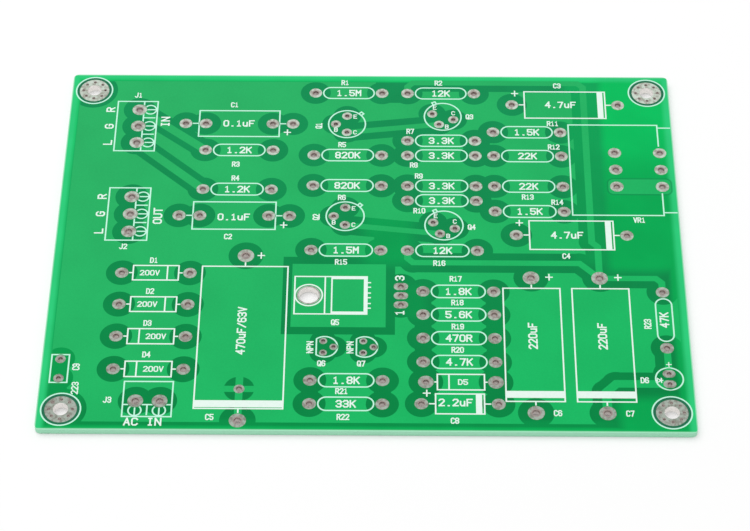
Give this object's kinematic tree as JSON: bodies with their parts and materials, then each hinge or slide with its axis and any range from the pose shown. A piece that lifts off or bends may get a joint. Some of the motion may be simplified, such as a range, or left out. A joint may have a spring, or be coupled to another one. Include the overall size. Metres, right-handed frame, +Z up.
{
  "type": "preamplifier circuit board",
  "caption": "Bare green two-sided preamplifier circuit board with plated holes, tinned lands, copper ground areas and a white component legend.",
  "frame": {"origin": "centre of the board's outline, on the plane of the undersides of its lands", "axes": "+X along the long side towards the potentiometer's end, +Y away from the viewer towards the resistor row at the far edge, +Z up out of the printed face"},
  "size_m": [0.1372, 0.1016, 0.0017],
  "materials": {
    "laminate": "green solder mask over glass-fibre laminate, smooth and slightly glossy, light passes through where no copper lies",
    "masked_copper": "copper foil under green solder mask, greyer and a little lighter than the bare laminate",
    "tinned_land": "tinned copper, silvery, slightly uneven",
    "legend_ink": "thin white screen-printed ink, matt"
  },
  "bodies": {
    "root": {"laminate": "laminate", "ground_pour_top": "masked_copper", "supply_rail_top": "masked_copper", "input_tracks_top": "masked_copper", "collector_tracks_top": "masked_copper", "regulator_island_top": "masked_copper", "potentiometer_link_top": "masked_copper", "indicator_tracks_top": "masked_copper", "ground_pour_bottom": "masked_copper", "link_tracks_bottom": "masked_copper", "fixing_hole_lands": "tinned_land", "resistor_lands": "tinned_land", "diode_lands": "tinned_land", "zener_lands": "tinned_land", "film_capacitor_lands": "tinned_land", "tubular_capacitor_lands": "tinned_land", "reservoir_capacitor_lands": "tinned_land", "can_transistor_lands": "tinned_land", "small_transistor_lands": "tinned_land", "regulator_lands": "tinned_land", "regulator_tab_land": "tinned_land", "terminal_lands": "tinned_land", "potentiometer_lands": "tinned_land", "indicator_lands": "tinned_land", "bypass_capacitor_lands": "tinned_land", "resistor_outlines": "legend_ink", "diode_outlines": "legend_ink", "film_capacitor_outlines": "legend_ink", "tubular_capacitor_outlines": "legend_ink", "reservoir_capacitor_outlines": "legend_ink", "can_transistor_outlines": "legend_ink", "small_transistor_outlines": "legend_ink", "regulator_outline": "legend_ink", "terminal_outlines": "legend_ink", "potentiometer_outline": "legend_ink", "indicator_outline": "legend_ink", "bypass_capacitor_outline": "legend_ink", "fixing_hole_rings": "legend_ink"}
  },
  "joints": []
}
